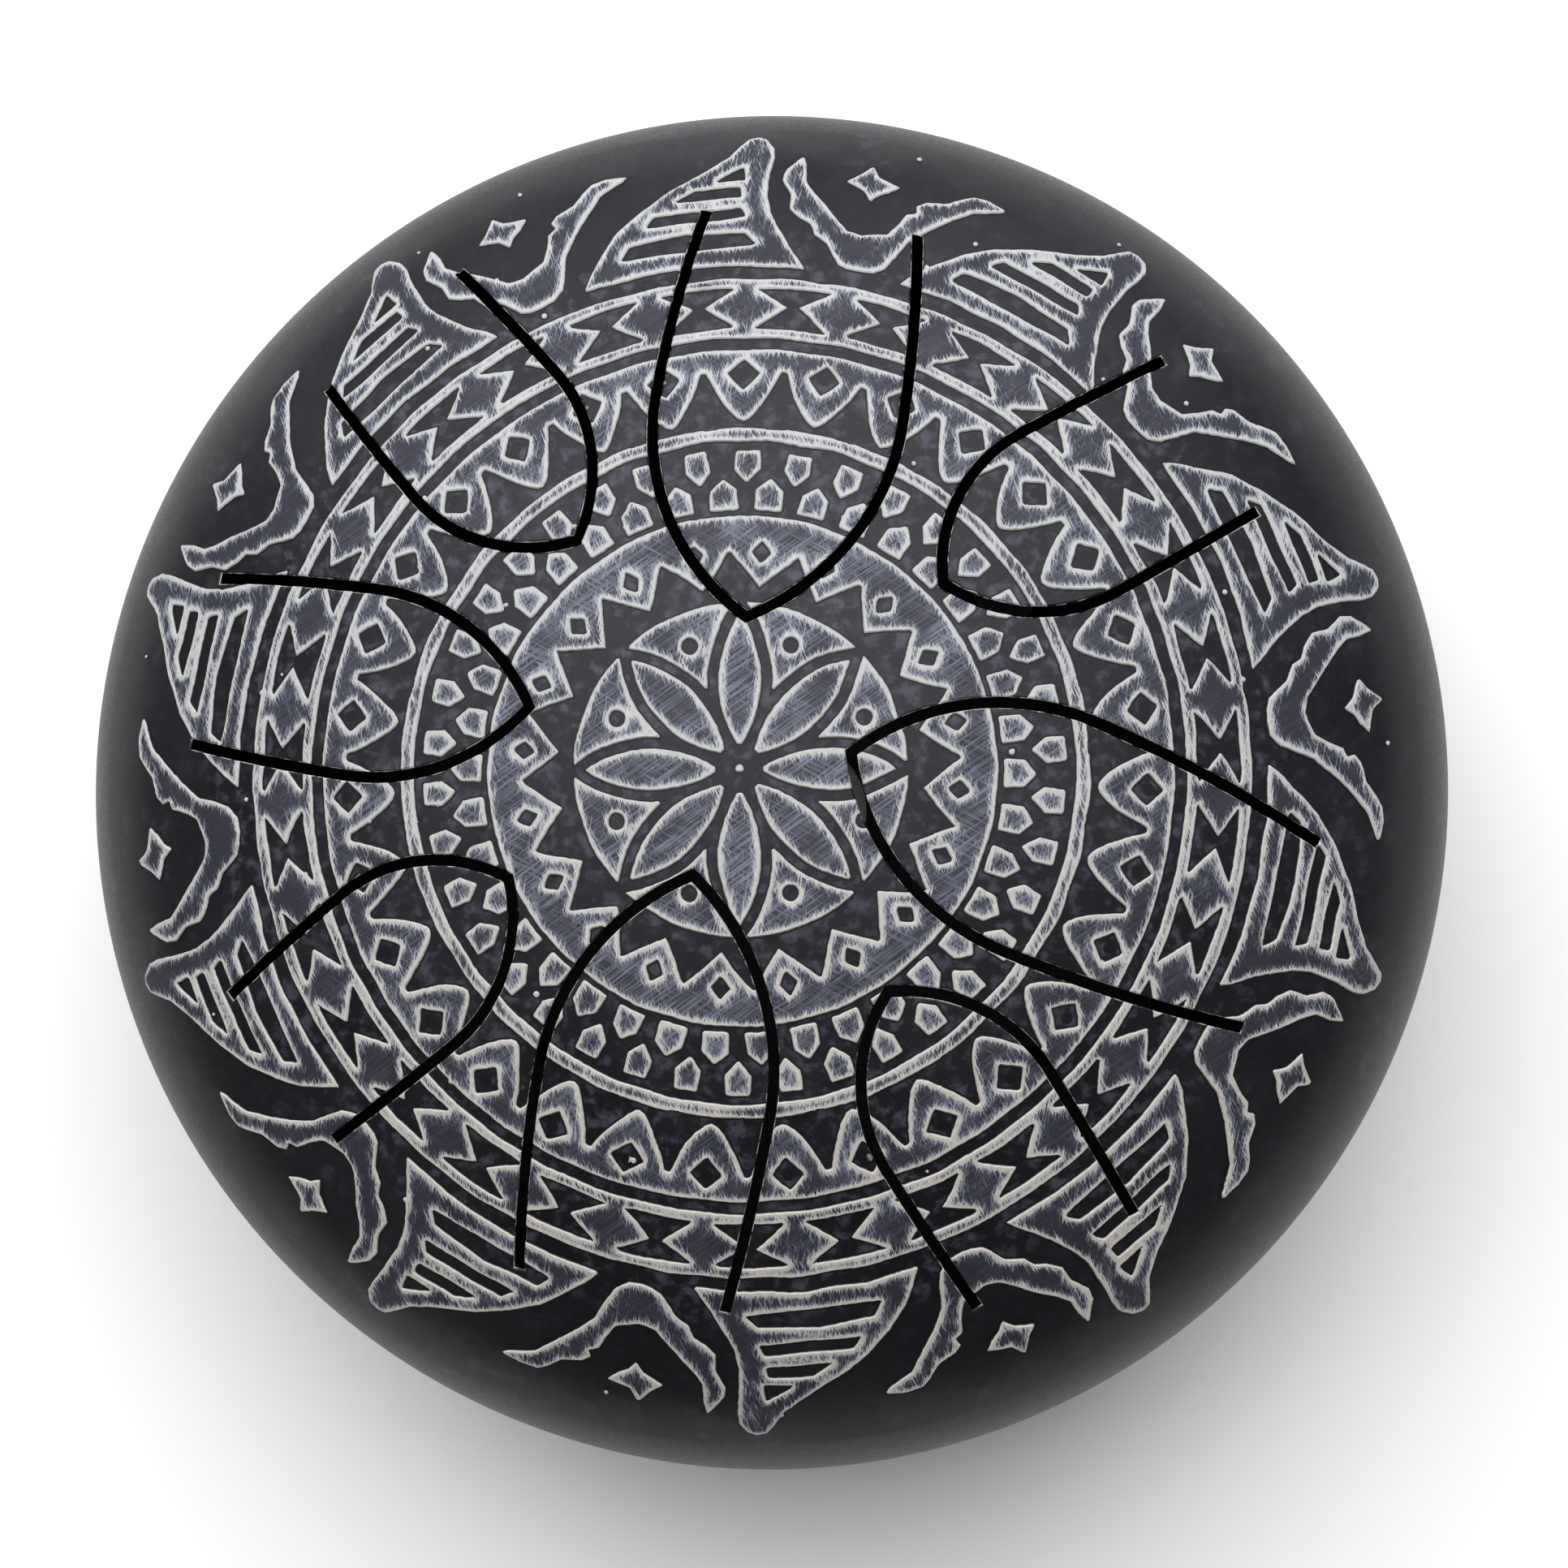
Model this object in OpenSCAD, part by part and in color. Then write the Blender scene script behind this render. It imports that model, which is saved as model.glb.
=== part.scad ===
// Steel tongue drum: two dished tank ends welded rim to rim, eight leaf-shaped
// tongues slit in the upper one, a sound port and four screwed rubber feet below.
// Origin: centre of the standing plane under the feet. +Z is up, +Y is the top
// of the pattern, and the longest tongue points towards -Y and +X.

/* [Drum body] */
// Outer diameter at the welded rim
drum_d = 300; // [296:1:304]
// Sheet thickness of both shells
wall = 2.5; // [2:0.1:3]
// Outer radius of the crown, the large spherical part of a dished end
crown_r = 235; // [232:1:240]
// Outer radius of the knuckle between crown and rim
knuckle_r = 43; // [42:1:44]
// Height of the straight rim below the knuckle on each shell
rim_h = 8; // [6:0.5:12]
// Depth of the weld groove at the rim
weld_depth = 1.5; // [1:0.1:2]
// How far the ground weld stands proud of the rim
weld_proud = 0.2; // [0.1:0.05:0.5]

/* [Tongues] */
// Width of the slits that free the tongues
slit_w = 2.4; // [2:0.1:3]
// Gap across each root, where the tongue bends
root_gap = 0.3; // [0.2:0.05:0.5]

/* [Sound port] */
// Radius of the hole in the lower shell
port_r = 20; // [18:1:30]
// Thickness of the rubber lip on each side of the sheet
trim_lip = 2; // [1.5:0.1:2.5]
// How far the rubber lip covers the sheet
trim_cover = 5; // [4:0.5:6]

/* [Feet] */
// Clearance between the standing plane and the lower shell's crown
ground_gap = 5; // [4:0.5:8]
// Distance of each foot's axis from the drum's axis
foot_at_r = 72; // [66:1:76]
// Radius of a rubber foot at its top
foot_r = 13; // [12:0.5:15]
// Radius of the rounded edge at the foot's sole
foot_edge_r = 2; // [1:0.5:3]
// Radius of the pocket that hides the screw head
pocket_r = 6.5; // [6:0.5:7]
// Depth of that pocket
pocket_h = 7; // [6:0.5:8]
// Radius of the screw's shank
screw_r = 2.5; // [2:0.25:3]
// Radius of the screw's head
head_r = 4.75; // [4.5:0.25:5.25]
// Height of the screw's head
head_h = 3.5; // [3:0.25:4]
// Radius of the washer under the head
washer_r = 5.8; // [5.3:0.1:6.2]
// Thickness of the washer
washer_h = 1; // [0.8:0.1:1.5]
// Radius of the threaded boss welded inside the lower shell
boss_r = 8; // [7:0.5:9]
// Height of the boss above the standing plane
boss_top = 28; // [26:1:32]
// Thickness of the closed end of the boss, above the screw
boss_cap = 1.5; // [1:0.1:1.8]

/* [Hidden] */
// Each tongue: tip x, tip y, heading from tip to root in degrees, length,
// half width at the root, half width at the belly, distance from tip to belly.
TONGUES = [
    [  1.2,  32.0,  82.5, 88.5, 23.0, 26.4, 45.0],
    [-35.0,  49.0, 131.5, 65.5, 19.0, 20.1, 31.5],
    [-44.6,  13.6, 170.5, 75.2, 18.2, 20.1, 37.5],
    [-49.1, -22.4, 217.0, 65.5, 19.2, 20.1, 31.5],
    [ -9.8, -22.0, 258.5, 89.0, 22.5, 25.0, 46.5],
    [ 30.6, -46.3, 301.0, 66.0, 19.4, 20.1, 31.5],
    [ 23.2,   3.4, 337.3, 96.7, 21.2, 25.9, 44.5],
    [ 42.2,  39.3,  31.2, 65.5, 19.2, 19.8, 30.5],
];
FOOT_COUNT = 4;

drum_r = drum_d / 2;
knuckle_c = drum_r - knuckle_r;
crown_c = sqrt(pow(crown_r - knuckle_r, 2) - pow(knuckle_c, 2));
dome_h = crown_r - crown_c;
lower_plane = ground_gap + dome_h;
seam_z = lower_plane + rim_h;
upper_plane = seam_z + rim_h;
upper_centre = upper_plane - crown_c;
lower_centre = lower_plane + crown_c;
port_z = lower_centre - sqrt(pow(crown_r, 2) - pow(port_r, 2));
port_slope = asin(port_r / crown_r);
foot_top = lower_centre - sqrt(pow(crown_r, 2) - pow(foot_at_r + foot_r, 2));
washer_z = pocket_h - washer_h;
head_z = washer_z - head_h;
far = 400;
seat_clear = 0.02;
running_clear = 0.05;
inner_r = crown_r - wall;

steel_paint = [0.11, 0.10, 0.12];
rubber_black = [0.05, 0.05, 0.05];
zinc = [0.70, 0.71, 0.73];

// Section of one dished end, right of the axis, with its knuckle plane at y = 0.
module dish_section() {
    difference() {
        union() {
            intersection() {
                translate([0, -crown_c]) circle(r = crown_r, $fn = 720);
                polygon([[0, -crown_c], [knuckle_c, 0], [knuckle_c * far / crown_c, far - crown_c], [0, far]]);
                square(far);
            }
            intersection() {
                translate([knuckle_c, 0]) circle(r = knuckle_r, $fn = 360);
                polygon([[knuckle_c, 0], [far, 0], [far, far], [knuckle_c * far / crown_c, far - crown_c]]);
            }
            translate([0, -rim_h]) square([drum_r, rim_h]);
        }
        union() {
            intersection() {
                translate([0, -crown_c]) circle(r = inner_r, $fn = 720);
                polygon([[0, -crown_c], [knuckle_c, 0], [knuckle_c * far / crown_c, far - crown_c], [0, far]]);
                square(far);
            }
            intersection() {
                translate([knuckle_c, 0]) circle(r = knuckle_r - wall, $fn = 360);
                polygon([[knuckle_c, 0], [far, 0], [far, far], [knuckle_c * far / crown_c, far - crown_c]]);
            }
            translate([0, -rim_h]) square([drum_r - wall, rim_h]);
        }
        polygon([[drum_r - weld_depth, -rim_h], [drum_r, weld_depth - rim_h], [drum_r, -rim_h]]);
    }
}

module dish() {
    rotate_extrude($fn = 360) dish_section();
}

// Plan of a tongue. Its tip is at the origin and it widens along +X. On each side
// a tighter arc from the tip and a flatter one from the root meet at the belly.
module leaf(t, grow, root_at) {
    belly_at = t[6];
    belly_half = t[5];
    tip_arc = (pow(belly_at, 2) + pow(belly_half, 2)) / (2 * belly_half);
    root_arc = (pow(t[3] - belly_at, 2) + pow(belly_half - t[4], 2)) / (2 * (belly_half - t[4]));
    union() {
        intersection() {
            translate([belly_at, belly_half - tip_arc]) circle(r = tip_arc + grow, $fn = 720);
            translate([belly_at, tip_arc - belly_half]) circle(r = tip_arc + grow, $fn = 720);
            translate([belly_at - far, -far / 2]) square(far);
        }
        intersection() {
            translate([belly_at, belly_half - root_arc]) circle(r = root_arc + grow, $fn = 1440);
            translate([belly_at, root_arc - belly_half]) circle(r = root_arc + grow, $fn = 1440);
            translate([belly_at, -far / 2]) square([root_at - belly_at, far]);
        }
    }
}

module leaf_prism(t, grow, root_at) {
    translate([t[0], t[1], upper_plane])
        rotate([0, 0, t[2]])
            linear_extrude(dome_h * 2) leaf(t, grow, root_at);
}

module top_shell() {
    color(steel_paint)
        difference() {
            translate([0, 0, upper_plane]) dish();
            for (t = TONGUES)
                leaf_prism(t, slit_w / 2, t[3] + root_gap);
        }
}

module tongue(i) {
    t = TONGUES[i];
    color(steel_paint)
        intersection() {
            translate([0, 0, upper_centre])
                difference() {
                    sphere(r = crown_r, $fn = 360);
                    sphere(r = inner_r, $fn = 360);
                }
            leaf_prism(t, -slit_w / 2, t[3]);
        }
}

// Places its child at foot i, turned so that its +X points away from the axis.
module at_foot(i) {
    rotate([0, 0, (i + 0.5) * 360 / FOOT_COUNT])
        translate([foot_at_r, 0, 0])
            children();
}

module bottom_shell() {
    color(steel_paint)
        difference() {
            translate([0, 0, lower_plane])
                mirror([0, 0, 1]) dish();
            cylinder(r = port_r, h = lower_plane, $fn = 180);
            for (i = [0 : FOOT_COUNT - 1])
                at_foot(i) cylinder(r = screw_r + 0.25, h = lower_plane, $fn = 48);
        }
}

// Ground weld bead: fills the groove at the rim and stands slightly proud.
module seam_weld() {
    color(steel_paint)
        translate([0, 0, seam_z])
            rotate_extrude($fn = 360)
                polygon([
                    [drum_r - weld_depth, 0],
                    [drum_r, weld_depth],
                    [drum_r + weld_proud, weld_depth / 2],
                    [drum_r + weld_proud, -weld_depth / 2],
                    [drum_r, -weld_depth],
                ]);
}

// Rubber channel clipped over the edge of the sound port.
module port_trim() {
    channel_half = wall / 2 + running_clear;
    lip_half = channel_half + trim_lip;
    lip_end_r = trim_lip / 2;
    color(rubber_black)
        rotate_extrude($fn = 180)
            translate([port_r, port_z])
                rotate(port_slope)
                    translate([0, wall / 2])
                        difference() {
                            union() {
                                intersection() {
                                    circle(r = lip_half, $fn = 64);
                                    translate([-far, -far / 2]) square(far);
                                }
                                translate([0, -lip_half]) square([trim_cover - lip_end_r, 2 * lip_half]);
                                for (side = [-1, 1])
                                    translate([trim_cover - lip_end_r, side * (channel_half + lip_end_r)])
                                        circle(r = lip_end_r, $fn = 32);
                            }
                            translate([-running_clear, -channel_half]) square([trim_cover * 2, 2 * channel_half]);
                        }
}

// Rubber foot, cut to the curve of the shell, with a pocket for the screw head.
module foot(i) {
    color(rubber_black)
        difference() {
            at_foot(i)
                difference() {
                    rotate_extrude($fn = 96)
                        union() {
                            square([foot_r - foot_edge_r, foot_edge_r]);
                            translate([foot_r - foot_edge_r, foot_edge_r]) circle(r = foot_edge_r, $fn = 48);
                            translate([0, foot_edge_r]) square([foot_r, foot_top]);
                        }
                    cylinder(r = pocket_r, h = pocket_h, $fn = 64);
                    cylinder(r = screw_r + 0.25, h = foot_top * 2, $fn = 48);
                }
            translate([0, 0, lower_centre]) sphere(r = crown_r + seat_clear, $fn = 360);
        }
}

module foot_washer(i) {
    color(zinc)
        at_foot(i)
            translate([0, 0, washer_z])
                difference() {
                    cylinder(r = washer_r, h = washer_h, $fn = 64);
                    cylinder(r = screw_r + 0.15, h = washer_h, $fn = 48);
                }
}

// Pan-head screw with a cross recess, standing on its head.
module foot_screw(i) {
    recess_w = 1.1;
    recess_l = 5;
    recess_h = 1.8;
    color(zinc)
        at_foot(i)
            difference() {
                union() {
                    translate([0, 0, head_z + 1]) cylinder(r = head_r, h = head_h - 1, $fn = 64);
                    translate([0, 0, head_z]) cylinder(r1 = head_r - 1, r2 = head_r, h = 1, $fn = 64);
                    translate([0, 0, washer_z]) cylinder(r = screw_r, h = boss_top - 2 - washer_z, $fn = 48);
                }
                for (turn = [0, 90])
                    rotate([0, 0, turn])
                        translate([-recess_l / 2, -recess_w / 2, head_z])
                            cube([recess_l, recess_w, recess_h]);
            }
}

// Blind threaded boss welded to the inside of the lower shell.
module foot_boss(i) {
    color(steel_paint)
        intersection() {
            at_foot(i)
                difference() {
                    translate([0, 0, ground_gap]) cylinder(r = boss_r, h = boss_top - ground_gap, $fn = 64);
                    cylinder(r = screw_r + running_clear, h = boss_top - boss_cap, $fn = 48);
                }
            translate([0, 0, lower_centre]) sphere(r = inner_r - seat_clear, $fn = 360);
        }
}

top_shell();
tongue(0);  // tongue_1
tongue(1);  // tongue_2
tongue(2);  // tongue_3
tongue(3);  // tongue_4
tongue(4);  // tongue_5
tongue(5);  // tongue_6
tongue(6);  // tongue_7
tongue(7);  // tongue_8
bottom_shell();
seam_weld();
port_trim();
foot(0);  // foot_1
foot(1);  // foot_2
foot(2);  // foot_3
foot(3);  // foot_4
foot_washer(0);  // foot_washer_1
foot_washer(1);  // foot_washer_2
foot_washer(2);  // foot_washer_3
foot_washer(3);  // foot_washer_4
foot_screw(0);  // foot_screw_1
foot_screw(1);  // foot_screw_2
foot_screw(2);  // foot_screw_3
foot_screw(3);  // foot_screw_4
foot_boss(0);  // foot_boss_1
foot_boss(1);  // foot_boss_2
foot_boss(2);  // foot_boss_3
foot_boss(3);  // foot_boss_4
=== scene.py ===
import math

import bpy
import numpy as np
from mathutils import Matrix, Vector
from mathutils.geometry import delaunay_2d_cdt


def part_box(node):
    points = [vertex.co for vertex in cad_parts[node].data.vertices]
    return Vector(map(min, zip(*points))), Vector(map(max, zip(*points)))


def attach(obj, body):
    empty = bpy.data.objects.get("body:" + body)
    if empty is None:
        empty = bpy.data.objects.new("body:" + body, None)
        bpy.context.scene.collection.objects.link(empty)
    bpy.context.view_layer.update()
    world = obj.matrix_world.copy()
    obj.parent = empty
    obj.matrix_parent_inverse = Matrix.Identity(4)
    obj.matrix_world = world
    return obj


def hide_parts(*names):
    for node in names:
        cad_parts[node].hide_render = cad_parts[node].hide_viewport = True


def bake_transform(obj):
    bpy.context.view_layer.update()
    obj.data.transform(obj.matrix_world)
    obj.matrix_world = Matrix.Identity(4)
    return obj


# Looks of a steel tongue drum: closed skins that carry its pattern over the CAD shell and tongues, the worn
# paint, the weld, rubber and zinc, and the floor, light and camera.

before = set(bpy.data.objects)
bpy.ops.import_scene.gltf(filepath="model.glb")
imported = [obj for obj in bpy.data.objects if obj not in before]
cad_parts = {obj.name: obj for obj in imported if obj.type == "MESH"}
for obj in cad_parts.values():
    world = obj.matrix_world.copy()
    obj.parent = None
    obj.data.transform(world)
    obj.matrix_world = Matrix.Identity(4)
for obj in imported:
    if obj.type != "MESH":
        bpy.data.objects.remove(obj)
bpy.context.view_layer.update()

# ---------------------------------------------------------------- the drum, in millimetres, as in the CAD
MM = 0.001
DRUM_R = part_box("bottom_shell")[1].x / MM
SEAM_Z = (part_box("top_shell")[0].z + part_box("bottom_shell")[1].z) / 2 / MM
RIM_H = 8.0
UPPER_PLANE = SEAM_Z + RIM_H
WALL = 2.5
CROWN_R = 235.0
KNUCKLE_R = 43.0
KNUCKLE_C = DRUM_R - KNUCKLE_R
CROWN_C = math.sqrt((CROWN_R - KNUCKLE_R) ** 2 - KNUCKLE_C**2)
CROWN_Z = UPPER_PLANE - CROWN_C
TURN = math.asin(KNUCKLE_C / (CROWN_R - KNUCKLE_R))
CROWN_S = CROWN_R * TURN
SLIT_W = 2.4
WELD_DEPTH = 1.5
# tip x, tip y, heading, length, half width at root, half width at belly, distance from tip to belly
TONGUES = [
    (1.2, 32.0, 82.5, 88.5, 23.0, 26.4, 45.0),
    (-35.0, 49.0, 131.5, 65.5, 19.0, 20.1, 31.5),
    (-44.6, 13.6, 170.5, 75.2, 18.2, 20.1, 37.5),
    (-49.1, -22.4, 217.0, 65.5, 19.2, 20.1, 31.5),
    (-9.8, -22.0, 258.5, 89.0, 22.5, 25.0, 46.5),
    (30.6, -46.3, 301.0, 66.0, 19.4, 20.1, 31.5),
    (23.2, 3.4, 337.3, 96.7, 21.2, 25.9, 44.5),
    (42.2, 39.3, 31.2, 65.5, 19.2, 19.8, 30.5),
]

# ---------------------------------------------------------------- the relief and its mesh, in millimetres
RELIEF_H = 0.45
RELIEF_SLOPE_W = 0.4
# arc length from the pole to the border of the patterned dome
SKIN_S = 156.0
AT_BORDER = 0.1
# the mesh has lines at these distances inside the motifs' edges, found on a square grid
LEVELS = (-0.35, 0.0, RELIEF_SLOPE_W, 1.0, 1.9)
LEVEL_NUDGE = 1e-7
REACH = 2.9
GRID = 0.4
# least distance of a line from a grid point, as a share of the grid's step
CORNER_GAP = 0.12
# a line loses a point that lies this near the line through its neighbours, if they are this near each other
THIN_BY = 0.02
LONGEST = 2.4
THIN_ROUNDS = 7
THIN_SEED = 3
RIM_STEPS = 320
# pitch of the loose points between the lines, and how far outside or inside the motifs they start
FILL, FILL_BELOW = 6.0, -1.0
FINE_FILL, FINE_FILL_ABOVE = 1.5, 1.2
FILL_TO_SLIT = 1.5
LATTICE_ROW = 0.866
# steps along a tongue's rounded tip and its flank, and the points across its root
TIP_STEP, FLANK_STEP = 1.1, 1.5
ROOT_POINTS = 24
CHAMFER_W = 0.35
CHAMFER_H = 0.28
OUTER_KNUCKLE_STEPS, INNER_KNUCKLE_STEPS = 13, 12
CREASE = 28.0

# ---------------------------------------------------------------- light and camera, in metres and degrees
WORLD_LIGHT = 0.14
# name, place, width, depth and power
LAMPS = (("overhead", (-0.10, 1.25, 2.05), 4.0, 3.6, 168.0),)
FLOOR_SIZE, FLOOR_DROP = 8.0, 0.0002
LEAN, LEAN_TOWARDS = 5.39, -37.4
CAMERA_FAR = 1.2
CLIP_START = 0.05
LENS = 126.5
# where the camera aims, in millimetres, its height counted from the seam
AIM_X, AIM_Y, AIM_UP = 5.3, -0.1, 30.0


def dome(s, lift=0.0):
    """Radius and height, in mm, at arc length s from the pole, moved out along the normal by lift."""
    a = np.where(s < CROWN_S, s / CROWN_R, TURN + (s - CROWN_S) / KNUCKLE_R)
    on_crown = s < CROWN_S
    centre_r = np.where(on_crown, 0.0, KNUCKLE_C)
    centre_z = np.where(on_crown, CROWN_Z, UPPER_PLANE)
    size = np.where(on_crown, CROWN_R, KNUCKLE_R) + lift
    return centre_r + size * np.sin(a), centre_z + size * np.cos(a)


def arc_of(r):
    """Arc length from the pole of the crown point at plan radius r."""
    return CROWN_R * np.arcsin(np.clip(r / CROWN_R, -1, 1))


def dome_points(flat, lift=0.0):
    """Points of the dome, in mm, from flattened ones, whose distance from the pole is an arc length."""
    s = np.hypot(flat[:, 0], flat[:, 1])
    r, z = dome(s, lift)
    k = r / np.maximum(s, 1e-9)
    return np.column_stack([flat * k[:, None], z])


def to_plan(flat):
    return dome_points(flat)[:, :2]


def to_flat(plan):
    r = np.hypot(plan[:, 0], plan[:, 1])
    return plan * (arc_of(r) / np.maximum(r, 1e-9))[:, None]


def polygon_distance(x, y, corners):
    """Distance in mm of each x, y from a polygon's outline, positive inside."""
    corners = np.asarray(corners, float)
    nearest = np.full(x.shape, 1e9)
    inside = np.zeros(x.shape, bool)
    for (ax, ay), (bx, by) in zip(corners, np.roll(corners, -1, 0)):
        ex, ey = bx - ax, by - ay
        t = np.clip(((x - ax) * ex + (y - ay) * ey) / (ex * ex + ey * ey), 0, 1)
        nearest = np.minimum(nearest, np.hypot(x - ax - t * ex, y - ay - t * ey))
        crosses = (ay > y) != (by > y)
        with np.errstate(divide="ignore", invalid="ignore"):
            inside ^= crosses & (x < ax + (y - ay) * ex / ey)
    return np.where(inside, nearest, -nearest)


def local(corners, turn=0.0):
    """x, y of corners given as degrees clockwise and arc length, all turned clockwise by turn."""
    spread = [(math.radians(a + turn), s) for a, s in corners]
    return [(s * math.sin(a), s * math.cos(a)) for a, s in spread]


def mirrored(half):
    """Closes an outline given as its right half, from top to bottom."""
    return half + [(-x, y) for x, y in reversed(half) if x != 0]


def folded(s, theta, first, count):
    """x, y of each point in the frame of its nearest motif, where count motifs start at angle first."""
    pitch = 360.0 / count
    d = np.radians((theta - first + pitch / 2) % pitch - pitch / 2)
    return s * np.sin(-d), s * np.cos(d)


def band(s, low, high):
    return np.minimum(s - low, high - s)


# ---------------------------------------------------------------- the pattern, in mm on the flattened dome
# Each outline points away from the pole along +y. How many copies there are, and the angle of the first:
SUN_COUNT, SUN_AT = 20, 12.0
DOT_COUNT, DOT_AT = 38, 8.6
PETAL_COUNT, PETAL_AT = 31, 9.0
FIN_COUNT, FIN_AT, FIN_TURN = 10, 25.0, 7.0
WAVE_AT = 6.0
ROSE_COUNT, ROSE_AT = 8, 90.0

DISC_R = 35.3
ROSE_ARC, ROSE_HALF_W, ROSE_MID = 26.0, 5.6, 18.5
ROSE_GROOVE_W = 1.0
ROSE_DOT_R, ROSE_DOT_MID = 1.6, 28.0
BUTTON_R, BUTTON_GROOVE_W = 4.2, 0.8
SUN_OUT = 54.2
SUN_GEM_LAG = 0.6
SUN_TOOTH = mirrored([(0, 38.2), (7.3, 45.9), (9.2, 54.5)])
SUN_GEM = [(0, 43.7), (1.8, 46.0), (0, 48.4), (-1.8, 46.0)]
DOT_IN = mirrored([(2.5, 55.8), (2.4, 59.7), (0, 61.9)])
DOT_OUT = mirrored([(0, 62.0), (2.3, 64.6), (2.1, 68.2)])
DOT_ROUND = 0.65
RINGS = [(70.7, 74.1), (95.3, 98.0), (107.8, 110.7)]
PETAL = mirrored([
    (0, 75.3), (1.2, 75.8), (2.6, 77.1), (4.3, 79.3), (5.8, 81.7), (7.2, 84.3), (8.4, 86.9), (9.2, 93.0),
])
PETAL_BASE, PETAL_OUT = 87.0, 92.8
PETAL_GEM = [(0, 83.1), (3.4, 86.7), (0, 90.1), (-3.4, 86.7)]
DIAMOND = mirrored([(1.5, 97.4), (9.5, 103.0), (1.5, 108.6)])
FIN = local([
    (6.4, 113.3), (0.0, 113.8), (-6.5, 114.2), (-13.0, 114.3), (-19.2, 114.3), (-17.9, 118.3),
    (-16.2, 122.5), (-14.1, 127.5), (-11.5, 132.0), (-8.4, 136.5), (-4.5, 141.5), (-2.5, 145.3),
    (-1.6, 149.0), (-0.9, 151.8), (0.0, 152.6), (0.9, 151.6), (1.6, 148.5), (1.7, 145.0), (1.5, 140.0),
    (1.4, 133.0), (1.9, 128.5), (2.9, 124.0), (4.1, 119.5), (5.5, 116.0),
], FIN_TURN)
FIN_STRIPES = [local(c, FIN_TURN) for c in (
    [(0.5, 119.8), (-14.0, 119.8), (-13.0, 122.8), (-7.0, 123.2), (-0.7, 122.5)],
    [(-0.7, 127.3), (-11.0, 127.3), (-10.0, 129.7), (-1.3, 129.7)],
    [(-1.2, 133.0), (-7.7, 133.0), (-5.8, 135.5), (-1.3, 135.5)],
    [(-0.9, 137.7), (-3.8, 137.5), (-1.1, 141.5)],
)]
WAVE = local([(-a, s) for a, s in (
    (0, 114.7), (1.3, 114.9), (2.4, 115.9), (3.1, 118.0), (4.0, 121.0), (5.6, 123.0), (6.1, 125.7),
    (7.2, 127.0), (8.4, 129.7), (8.5, 134.0), (9.4, 138.0), (9.2, 141.0), (8.2, 144.2), (7.5, 146.2),
    (7.1, 142.0), (7.0, 138.0), (6.2, 135.3), (4.8, 132.0), (3.2, 128.0), (2.0, 125.4), (0.5, 124.7),
    (-1.0, 125.8), (-1.9, 126.5), (-2.7, 130.0), (-3.2, 133.3), (-4.1, 134.4), (-3.8, 136.2),
    (-4.6, 138.0), (-6.4, 139.3), (-7.7, 142.3), (-8.5, 143.8), (-10.0, 144.3), (-12.2, 143.4),
    (-11.5, 141.7), (-9.2, 139.0), (-7.7, 135.0), (-5.9, 130.0), (-4.3, 125.5), (-3.7, 121.0),
    (-3.0, 117.3), (-1.8, 115.2),
)])
STAR = local([(-a, s) for a, s in (
    (0.6, 134.1), (1.5, 136.9), (3.5, 139.0), (2.4, 141.2), (1.2, 145.4), (0.3, 142.0), (-2.0, 140.4),
    (-1.1, 138.0), (-0.1, 136.4),
)])
BEAD_R, BEAD_TOP = 1.1, 0.15
# stray specks of raised metal: how many, between which arc lengths, and their smallest and largest radius
SPECKS, SPECK_SEED = 120, 21
SPECK_RING, SPECK_R = (56, 152), (0.4, 0.85)
SPECK_REACH = 2.0
# the cut edges wander: depth and wavelength of the slow and the quick part, and their seeds along x and y
SLOW, SLOW_WAVE = 0.16, 14.0
QUICK, QUICK_WAVE = 0.05, 2.6
SEED_X, SEED_Y = 11, 13
# ground that no motif comes near
FAR_FROM_MOTIFS = -6.0


def ripple(x, y, seed, size, steps=7):
    """Smooth seeded noise about 0, made of plane waves of roughly the given wavelength."""
    rng = np.random.default_rng(seed)
    out = np.zeros_like(x)
    for _ in range(steps):
        a, k, p = rng.uniform(0, 2 * math.pi), rng.uniform(0.7, 1.6), rng.uniform(0, 2 * math.pi)
        out += np.sin((x * math.cos(a) + y * math.sin(a)) * 2 * math.pi * k / size + p)
    return out / math.sqrt(steps)


def wander(along, u, v, seed):
    """One coordinate of the points u, v, moved as the hand that cut the edges wandered."""
    return along + SLOW * ripple(u, v, seed, SLOW_WAVE) + QUICK * ripple(u, v, seed + 1, QUICK_WAVE)


def rose(s, theta):
    """Grooves of the centre rosette: round eight almond petals and a button, and a dot between petals."""
    x, y = folded(s, theta, ROSE_AT, ROSE_COUNT)
    almond = ROSE_ARC - np.hypot(np.abs(x) + ROSE_ARC - ROSE_HALF_W, y - ROSE_MID)
    round_petals = ROSE_GROOVE_W - np.abs(almond)
    x, y = folded(s, theta, ROSE_AT + 180.0 / ROSE_COUNT, ROSE_COUNT)
    dots = ROSE_DOT_R - np.hypot(x, y - ROSE_DOT_MID)
    round_button = BUTTON_GROOVE_W - np.abs(s - BUTTON_R)
    return np.maximum(np.maximum(round_petals, round_button), dots)


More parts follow.
